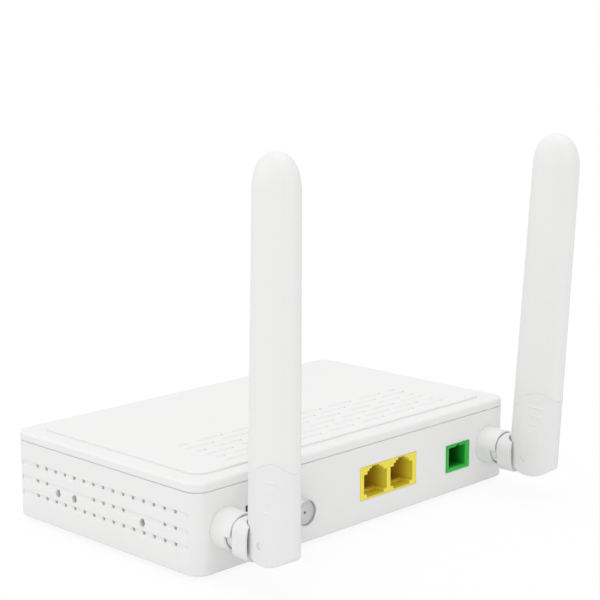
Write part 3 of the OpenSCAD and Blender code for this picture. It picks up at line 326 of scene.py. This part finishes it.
def setCamera():
    view = {"lens": 92.65, "sensor": 36, "spot": (-0.38680, -0.39628, 0.17632),
            "right": (0.70080, -0.71335, -0.00380), "up": (0.13170, 0.12410, 0.98350), "clip": (0.01, 20)}
    bpy.ops.object.camera_add()
    camera = bpy.context.object
    camera.name = "photoCamera"
    camera.data.lens = view["lens"]
    camera.data.sensor_width = view["sensor"]
    camera.data.clip_start, camera.data.clip_end = view["clip"]
    right = Vector(view["right"]).normalized()
    up = Vector(view["up"])
    up = (up - right * up.dot(right)).normalized()
    turn = Matrix((right, up, right.cross(up))).transposed().to_4x4()
    camera.matrix_world = Matrix.Translation(view["spot"]) @ turn
    bpy.context.scene.camera = camera


def addLamp(name, size, spot, aim, power):
    bpy.ops.object.light_add(type="AREA", location=spot)
    lamp = bpy.context.object
    lamp.name = name
    lamp.data.shape = "DISK"
    lamp.data.size = size
    lamp.data.energy = power
    lamp.rotation_euler = (Vector(aim) - Vector(spot)).to_track_quat("-Z", "Y").to_euler()


def setStudio():
    studio = {"sky": 0.74, "floor": (0.92, 0.92, 0.92, 1), "floorSize": 12, "white": (1, 1, 1, 1),
              "shadow": 0.10, "shadowEnds": (0.16, 0.45), "aim": (0, -0.02, 0.05)}
    world = bpy.data.worlds.new("studio")
    bpy.context.scene.world = world
    paint = Paint(world)
    seen = paint.node("ShaderNodeMath", {"operation": "ADD", "use_clamp": True},
                      {0: paint.path("Is Camera Ray") + paint.path("Is Glossy Ray"),
                       1: paint.path("Is Transmission Ray")})
    strength = studio["sky"] + (1 - studio["sky"]) * seen  # white where it is seen, softer as a light
    back = paint.node("ShaderNodeBackground", {}, {"Color": studio["white"], "Strength": strength})
    paint.node("ShaderNodeOutputWorld", {}, {"Surface": back})
    addLamp("overheadSoftbox", size=1.4, spot=(-0.05, 0.05, 1.6), aim=(0, 0, 0), power=8.0)
    addLamp("leftSoftbox", size=1.0, spot=(-1.10, 1.42, 0.63), aim=studio["aim"], power=4.3)
    addLamp("frontSoftbox", size=1.0, spot=(-1.05, -1.43, 0.50), aim=studio["aim"], power=4.6)

    bpy.ops.mesh.primitive_plane_add(size=studio["floorSize"], location=(0, 0, 0))
    floor = bpy.context.object
    floor.name = "studioFloor"
    paint = newPaint("paleFloor")
    matt = paint.node("ShaderNodeBsdfDiffuse", {}, {"Color": studio["floor"]})
    glow = paint.node("ShaderNodeEmission", {}, {"Color": studio["white"], "Strength": 1.0})
    away = paint.node("ShaderNodeVectorMath", {"operation": "LENGTH"}, {0: paint.place()}, "Value")
    far = paint.fade(away, *studio["shadowEnds"])  # the shadow stays near the object, the rest is white
    lit = paint.node("ShaderNodeMath", {"operation": "MINIMUM"},
                     {0: paint.path("Is Camera Ray") + paint.path("Is Glossy Ray"), 1: 1.0})
    share = lit * (1 - studio["shadow"] * (1 - far))
    both = paint.node("ShaderNodeMixShader", {}, {0: share, 1: matt, 2: glow})
    paint.node("ShaderNodeOutputMaterial", {}, {"Surface": both})
    floor.data.materials.append(paint.owner)
    bpy.context.scene.view_settings.view_transform = "Standard"


setCamera()
setStudio()
print("camera, lamps and floor set")


def clearPick():
    bpy.ops.object.select_all(action="DESELECT")


def useTool(piece, kind, settings):  # one modifier, applied at once
    tool = piece.modifiers.new(kind.lower(), kind)
    for name, value in settings.items():
        setattr(tool, name, value)
    bpy.context.view_layer.objects.active = piece
    bpy.ops.object.modifier_apply(modifier=tool.name)


def cutAway(piece, cutter, operation="DIFFERENCE"):
    useTool(piece, "BOOLEAN", {"operation": operation, "object": cutter, "solver": "MANIFOLD"})
    bpy.data.objects.remove(cutter)


def growRim(rise, share, middle):  # extrude the picked rim along Z and scale it about its middle
    bpy.ops.mesh.extrude_region_move(TRANSFORM_OT_translate={"value": (0, 0, rise)})
    bpy.ops.transform.resize(value=(share, share, 1), center_override=(middle[0], middle[1], 0))


def pickVerts(piece, numbers):  # leaves edit mode on, with only these points picked
    bpy.ops.object.mode_set(mode="EDIT")
    bpy.ops.mesh.select_mode(type="VERT")
    bpy.ops.mesh.select_all(action="DESELECT")
    bpy.ops.object.mode_set(mode="OBJECT")
    for number in numbers:
        piece.data.vertices[number].select = True
    bpy.ops.object.mode_set(mode="EDIT")


def roundSharp(piece, below, width):  # bevel the sharp edges that lie under a height
    bevel = {"sharp": 25, "segments": 3}
    bpy.context.view_layer.objects.active = piece
    bpy.ops.object.mode_set(mode="EDIT")
    bpy.ops.mesh.select_mode(type="EDGE")
    bpy.ops.mesh.select_all(action="DESELECT")
    bpy.ops.mesh.edges_select_sharp(sharpness=math.radians(bevel["sharp"]))
    bpy.ops.object.mode_set(mode="OBJECT")
    for edge in piece.data.edges:
        if max(piece.data.vertices[k].co.z for k in edge.vertices) > below:
            edge.select = False
    bpy.ops.object.mode_set(mode="EDIT")
    bpy.ops.mesh.bevel(offset=width, segments=bevel["segments"], affect="EDGES", clamp_overlap=True)
    bpy.ops.object.mode_set(mode="OBJECT")


def settle(piece, place, name, smoothAngle):  # a piece made in millimetres goes to its place in metres
    if bpy.context.mode != "OBJECT":
        bpy.ops.object.mode_set(mode="OBJECT")
    clearPick()
    piece.select_set(True)
    bpy.context.view_layer.objects.active = piece
    piece.name = piece.data.name = name
    piece.matrix_world = place @ Matrix.Scale(mm, 4)
    bpy.ops.object.transform_apply(location=True, rotation=True, scale=True)
    bpy.ops.object.mode_set(mode="EDIT")
    bpy.ops.mesh.select_all(action="SELECT")
    bpy.ops.mesh.normals_make_consistent(inside=False)
    bpy.ops.object.mode_set(mode="OBJECT")
    bpy.ops.object.shade_smooth_by_angle(angle=math.radians(smoothAngle))


blade = {"thick": 11.0, "wide": 19.6, "shift": -1.1, "power": 2.4, "taper": 0.10, "length": 121.2,
         "top": 121.06, "domeStart": 108.7, "domePower": 2.3, "domeSteps": 16, "points": 96, "joint": 25.5,
         "wave": (-5.0, -3.45, 3.27)}


def fuller(c):  # a circle's coordinate, moved out to a fuller oval
    return math.copysign(abs(c) ** (2 / blade["power"]), c)


def keepShare(height):
    return 1 - blade["taper"] * height / blade["length"]


def ovalRing(height):  # a circle drawn out to the full oval of the blade
    clearPick()
    bpy.ops.mesh.primitive_circle_add(vertices=blade["points"], radius=1)
    ring = bpy.context.object
    keep = keepShare(height)
    for v in ring.data.vertices:
        v.co = (blade["thick"] / 2 * keep * fuller(v.co.x),
                blade["shift"] + blade["wide"] / 2 * keep * fuller(v.co.y), height)
    return ring


def seamHeight(y):  # parting line between foot and sleeve: a wave over the flat faces, low on both edges
    t = (y - blade["shift"]) / (blade["wide"] / 2)
    first, second, third = blade["wave"]
    return blade["joint"] + first * t + second * t ** 2 + third * t ** 3


def foldJoint(side):
    return next(j for j in frame["joints"] if j["name"] == side + "_antenna_fold")


def knucklePlace(side):
    fold = foldJoint(side)
    lean = math.atan2(-fold["axis"][2], fold["axis"][0])
    return Matrix.Translation(fold["pos_m"]) @ Matrix.Rotation(lean, 4, "Y")


def bladePlace(side):
    tilt = math.radians(-foldJoint(side)["range_deg"][0])
    return knucklePlace(side) @ Matrix.Rotation(tilt, 4, "X")


def copyOf(form):
    piece = form.copy()
    piece.data = form.data.copy()
    bpy.context.collection.objects.link(piece)
    return piece


def antennaSleeve(side):
    sleeve = {"firstFlat": 31.0, "tip": 0.02, "lip": 0.93, "lipTop": 30.0, "round": 0.12, "roundFrom": 50,
              "smooth": 40}
    middle = (0, blade["shift"])
    shell = ovalRing(blade["joint"])
    count = blade["points"]
    bpy.ops.object.mode_set(mode="EDIT")
    bpy.ops.mesh.select_all(action="SELECT")
    domeStart, dome = blade["domeStart"], blade["top"] - blade["domeStart"]
    height, share = blade["joint"], keepShare(blade["joint"])
    for up in (sleeve["firstFlat"], (sleeve["firstFlat"] + domeStart) / 2, domeStart):
        growRim(up - height, keepShare(up) / share, middle)
        height, share = up, keepShare(up)
    for step in range(1, blade["domeSteps"]):
        q = math.sin(math.pi / 2 * step / blade["domeSteps"])
        up = domeStart + dome * q
        left = keepShare(up) * (1 - q ** blade["domePower"]) ** (1 / blade["domePower"])
        growRim(up - height, left / share, middle)
        height, share = up, left
    growRim(blade["top"] - height, sleeve["tip"], middle)
    bpy.ops.mesh.merge(type="CENTER")
    bpy.ops.object.mode_set(mode="OBJECT")
    for v in shell.data.vertices[:count]:
        v.co.z = seamHeight(v.co.y)
    pickVerts(shell, range(count))
    growRim(0, sleeve["lip"], middle)  # wall thickness at the mouth
    growRim(0, 1, middle)
    bpy.ops.object.mode_set(mode="OBJECT")
    for v in shell.data.vertices[-count:]:
        v.co.z = sleeve["lipTop"]
    bpy.ops.object.mode_set(mode="EDIT")
    bpy.ops.mesh.edge_face_add()
    bpy.ops.object.mode_set(mode="OBJECT")
    useTool(shell, "BEVEL", {"width": sleeve["round"], "segments": 3, "limit_method": "ANGLE",
                             "angle_limit": math.radians(sleeve["roundFrom"])})
    settle(shell, bladePlace(side), side + "_sleeve", sleeve["smooth"])
    shell.data.materials.append(finish["antenna_white"])
    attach(shell, side + "_antenna_blade")
    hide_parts(side + "_antenna_sleeve")


def gripRib(face, height, half):  # one lens-shaped rib on a flat face of the foot
    rib = {"thick": 1.1, "tall": 0.95, "sunk": 0.96, "across": -2.4}
    clearPick()
    bpy.ops.mesh.primitive_uv_sphere_add(segments=32, ring_count=16, radius=1)
    lens = bpy.context.object
    bpy.ops.object.mode_set(mode="EDIT")
    bpy.ops.mesh.select_all(action="SELECT")
    bpy.ops.transform.resize(value=(rib["thick"], half, rib["tall"]), center_override=(0, 0, 0))
    out = face * (blade["thick"] / 2 * keepShare(height) - rib["sunk"])
    bpy.ops.transform.translate(value=(out, rib["across"], height))
    bpy.ops.object.mode_set(mode="OBJECT")
    return lens


foot = {"low": -8.0, "top": 26.0, "plug": 0.9, "rise": 5, "endRound": 13.1, "endMiddle": 6.5,
        "endAngles": (218, 323, 5), "ball": 1.2, "leans": (18, 36, 54, 72), "turns": (0, 360, 10),
        "slot": 4.8, "slotRound": 6.05, "neck": 4.0, "runOut": 3.3, "pin": 1.2, "pinLong": 30,
        "edge": 0.3, "edgeBelow": 15.0, "smooth": 32,
        "rims": ((-1.7, 1.0), (-1.15, 1.010), (-0.6, 1.014), (-0.15, 1.009), (0.0, 1.0), (0.0, 0.9)),
        "ribs": ((21.0, 5.0), (17.7, 4.5), (14.4, 3.8), (11.2, 3.0))}


def footForm():  # the whole foot, before its slot is cut
    middle = (0, blade["shift"])
    count = blade["points"]
    body = ovalRing(foot["low"])
    rolled = []  # where the middle of the ball goes
    for v in body.data.vertices:
        x = v.co.x * (1 - 2 * foot["ball"] / blade["thick"])
        y = (v.co.y - blade["shift"]) * (1 - 2 * foot["ball"] / blade["wide"])
        z = foot["endMiddle"] - math.sqrt((foot["endRound"] - foot["ball"]) ** 2 - y ** 2)
        rolled.append(Vector((x, blade["shift"] + y, z)))
    bpy.ops.object.mode_set(mode="EDIT")
    bpy.ops.mesh.select_all(action="SELECT")
    bpy.ops.mesh.edge_face_add()
    share = keepShare(foot["low"])
    for _, swell in foot["rims"]:  # a soft bead below the parting line
        keep = keepShare(blade["joint"]) * swell
        growRim(foot["rise"], keep / share, middle)
        share = keep
    bpy.ops.object.mode_set(mode="OBJECT")
    for number, (drop, swell) in enumerate(foot["rims"]):
        for v in body.data.vertices[count * (number + 1):count * (number + 2)]:
            v.co.z = seamHeight(blade["shift"] + (v.co.y - blade["shift"]) / swell) + drop
    bpy.ops.object.mode_set(mode="EDIT")
    growRim(0, foot["plug"], middle)
    bpy.ops.object.mode_set(mode="OBJECT")
    for v in body.data.vertices[-count:]:
        v.co.z = foot["top"]
    bpy.ops.object.mode_set(mode="EDIT")
    bpy.ops.mesh.edge_face_add()
    for angle in range(*foot["endAngles"]):  # the end is rounded by short flats
        out = Vector((0, math.cos(math.radians(angle)), math.sin(math.radians(angle))))
        bpy.ops.mesh.select_all(action="SELECT")
        bpy.ops.mesh.bisect(plane_co=Vector((0, blade["shift"], foot["endMiddle"])) + out * foot["endRound"],
                            plane_no=out, use_fill=True, clear_outer=True)
    for lean in foot["leans"]:  # and so is its rim, by flats that touch a ball rolled along inside it
        for turn in range(*foot["turns"]):
            level = math.cos(math.radians(lean))
            out = Vector((level * math.cos(math.radians(turn)), level * math.sin(math.radians(turn)),
                          -math.sin(math.radians(lean))))
            reach = max(spot.dot(out) for spot in rolled) + foot["ball"]
            bpy.ops.mesh.select_all(action="SELECT")
            bpy.ops.mesh.bisect(plane_co=out * reach, plane_no=out, use_fill=True, clear_outer=True)
    bpy.ops.mesh.select_all(action="SELECT")
    bpy.ops.mesh.normals_make_consistent(inside=False)
    bpy.ops.object.mode_set(mode="OBJECT")
    return body


def antennaFoot(side, form):
    body = copyOf(form)
    clearPick()
    bpy.ops.mesh.primitive_cylinder_add(vertices=96, radius=foot["slotRound"], depth=foot["slot"],
                                        rotation=(0, math.pi / 2, 0))
    slot = bpy.context.object
    bpy.ops.object.transform_apply(rotation=True)
    for v in slot.data.vertices:  # the round slot runs out below and behind
        if v.co.y > -foot["neck"] and v.co.z < foot["neck"]:
            v.co.y = max(v.co.y * foot["runOut"], -foot["neck"])
            v.co.z = min(v.co.z * foot["runOut"], foot["neck"])
    cutAway(body, slot)
    clearPick()
    bpy.ops.mesh.primitive_cylinder_add(vertices=48, radius=foot["pin"], depth=foot["pinLong"],
                                        rotation=(0, math.pi / 2, 0))
    cutAway(body, bpy.context.object)
    roundSharp(body, foot["edgeBelow"], foot["edge"])
    for face in (-1, 1):
        for height, half in foot["ribs"]:
            cutAway(body, gripRib(face, height, half), "UNION")
    settle(body, bladePlace(side), side + "_foot", foot["smooth"])
    useTool(body, "WEIGHTED_NORMAL", {"keep_sharp": True})  # long faces stay even beside the small ribs
    body.data.materials.append(finish["antenna_white"])
    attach(body, side + "_antenna_blade")
    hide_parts(side + "_antenna_foot")


def knuckleCheeks(side, form):  # the outside of the hinge head, hollowed by the foot as it folds
    cheeks = {"half": 6.52, "top": 6.02, "low": 7.12, "near": 4.88, "far": 11.03, "corner": 4.2,
              "cornerSteps": 14, "room": (1.055, 1.03, 1.045), "folds": (0, 91, 10), "smooth": 32}
    size = (2 * cheeks["half"], cheeks["far"] - cheeks["near"], cheeks["top"] + cheeks["low"])
    middle = (0, (cheeks["far"] + cheeks["near"]) / 2, (cheeks["top"] - cheeks["low"]) / 2)
    clearPick()
    bpy.ops.mesh.primitive_cube_add(size=1, scale=size, location=middle)
    block = bpy.context.object
    bpy.ops.object.transform_apply(location=True, scale=True)
    bpy.ops.object.mode_set(mode="EDIT")
    bpy.ops.mesh.select_mode(type="EDGE")
    bpy.ops.mesh.select_all(action="DESELECT")
    bpy.ops.object.mode_set(mode="OBJECT")
    for edge in block.data.edges:  # the four edges that run out from the panel
        first, last = (block.data.vertices[k].co for k in edge.vertices)
        edge.select = abs(first.y - last.y) > 1
    bpy.ops.object.mode_set(mode="EDIT")
    bpy.ops.mesh.bevel(offset=cheeks["corner"], segments=cheeks["cornerSteps"], affect="EDGES")
    bpy.ops.object.mode_set(mode="OBJECT")
    for turn in range(*cheeks["folds"]):
        sweep = copyOf(form)
        grown = Matrix.Diagonal((*cheeks["room"], 1))
        sweep.matrix_world = Matrix.Rotation(math.radians(turn), 4, "X") @ grown
        bpy.context.view_layer.update()
        cutAway(block, sweep)
    settle(block, knucklePlace(side), side + "_cheeks", cheeks["smooth"])
    block.data.materials.append(finish["antenna_white"])
    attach(block, side + "_antenna_base")


def coaxialShell():
    shell = {"round": 4.75, "rootRound": 4.95, "root": 2.2, "out": 8.0, "pitch": 0.79, "depth": 0.42,
             "thread": (0.36, 0.50, 0.86), "plain": 0.55, "face": 1.1,
             "lip": ((0.85, 0.42), (0.65, 0.05), (0.15, 0.05), (0.0, 0.2)),
             "mouth": 4.2, "mouthRound": 0.1, "mouthDeep": 2.6, "cup": 2.85, "cupDeep": 16.0,
             "block": (12.0, 11.5, 12.0), "blockUp": 0.05, "blockEdge": 0.4, "points": 64,
             "spot": (-38.45, -48.5, 15.5), "board": 9.7, "smooth": 25}
    middle = (0, 0)
    crest, valley = shell["round"], shell["round"] - shell["depth"]
    out, mouth, pitch = shell["out"], shell["mouth"], shell["pitch"]
    clearPick()
    bpy.ops.mesh.primitive_circle_add(vertices=shell["points"], radius=shell["rootRound"],
                                      location=(0, 0, -shell["root"]))
    barrel = bpy.context.object
    bpy.ops.object.transform_apply(location=True)
    bpy.ops.object.mode_set(mode="EDIT")
    bpy.ops.mesh.select_all(action="SELECT")
    radius, height = shell["rootRound"], -shell["root"]
    stops = [(0.0, shell["rootRound"]), (0.0, valley), (shell["plain"], valley)]  # height and radius
    rise, level, fall = (pitch * share for share in shell["thread"])
    turn = shell["plain"]
    while turn + pitch < out - shell["face"]:  # one turn of thread: flank, crest, flank, root
        stops += [(turn + rise, crest), (turn + level, crest), (turn + fall, valley), (turn + pitch, valley)]
        turn += pitch
    stops += [(out - back, crest - sunk) for back, sunk in shell["lip"]]
    stops += [(out, mouth + shell["mouthRound"]), (out - shell["mouthRound"], mouth),
              (out - shell["mouthDeep"], mouth), (out - shell["mouthDeep"], shell["cup"]),
              (out - shell["cupDeep"], shell["cup"])]
    for up, size in stops:
        growRim(up - height, size / radius, middle)
        height, radius = up, size
    bpy.ops.mesh.edge_face_add()
    bpy.ops.object.mode_set(mode="OBJECT")
    tall, deep = shell["block"][1:]
    low = -shell["root"] - deep
    blockMiddle = (0, shell["board"] - shell["spot"][2] + tall / 2 + shell["blockUp"], low + deep / 2)
    clearPick()
    bpy.ops.mesh.primitive_cube_add(size=1, scale=shell["block"], location=blockMiddle)
    block = bpy.context.object
    bpy.ops.object.transform_apply(location=True, scale=True)
    useTool(block, "BEVEL", {"width": shell["blockEdge"], "segments": 2, "limit_method": "ANGLE"})
    clearPick()
    barrel.select_set(True)
    block.select_set(True)
    bpy.context.view_layer.objects.active = barrel
    bpy.ops.object.join()
    place = Matrix.Translation(Vector(shell["spot"]) * mm) @ Matrix.Rotation(math.pi / 2, 4, "X")
    settle(barrel, place, "coaxial_shell", shell["smooth"])
    barrel.data.materials.append(finish["connector_nickel"])
    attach(barrel, "case")
    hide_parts("rf_connector_shell")


finish = {"jack_yellow": jackYellow(), "fibre_green": fibreGreen(), "foot_rubber": footRubber(),
          "connector_nickel": connectorNickel(), "board_green": boardGreen(), "ferrite_grey": ferriteGrey()}
for slot, look in whiteLooks.items():
    finish[slot] = mouldedWhite(look)
for slot, look in grainLooks.items():
    finish[slot] = grained(look)
for part in record["subparts"]:
    node = nodes[part["node"]]
    for slot in node.material_slots:
        slot.material = finish[part["material_slot"]]
print("finishes set on", len(record["subparts"]), "nodes")

form = footForm()
for side in ("left", "right"):
    antennaSleeve(side)
    antennaFoot(side, form)
    knuckleCheeks(side, form)
bpy.data.objects.remove(form)
print("antennas made")
coaxialShell()
print("coaxial connector threaded")
